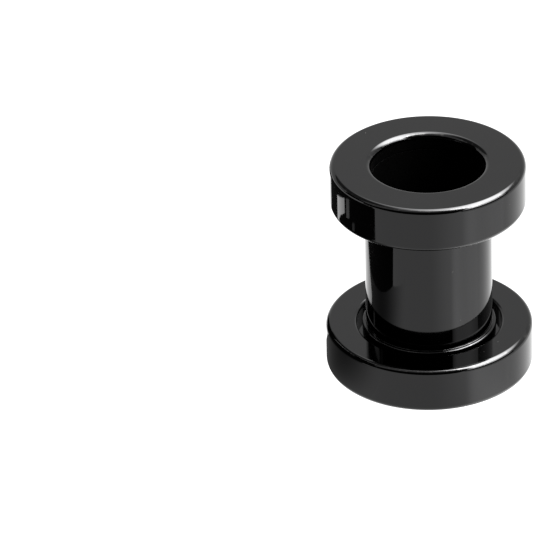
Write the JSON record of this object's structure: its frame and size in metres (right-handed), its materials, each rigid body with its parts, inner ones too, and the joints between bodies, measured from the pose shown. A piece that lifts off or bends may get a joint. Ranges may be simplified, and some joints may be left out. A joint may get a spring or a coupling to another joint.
{
  "type": "ear tunnel",
  "caption": "Screw-fit ear tunnel in gloss black steel: a hollow barrel on a fixed back flange, with a front flange that screws onto its end.",
  "frame": {"origin": "centre of the underside of the back flange, on the surface that the tunnel stands on", "axes": "+Z along the axis of the tunnel, from the back flange to the front flange; X and Y are any two directions square to it"},
  "size_m": [0.013, 0.013, 0.0143],
  "materials": {
    "black_steel": "stainless steel with a mirror-polished black vapour-deposited coating"
  },
  "bodies": {
    "barrel": {"barrel": "black_steel"},
    "front_flange": {"front_flange": "black_steel"}
  },
  "joints": [
    {"name": "unscrew", "type": "slide", "parent": "barrel", "child": "front_flange", "axis": [0, 0, 1], "range_m": [0, 0.012]}
  ]
}
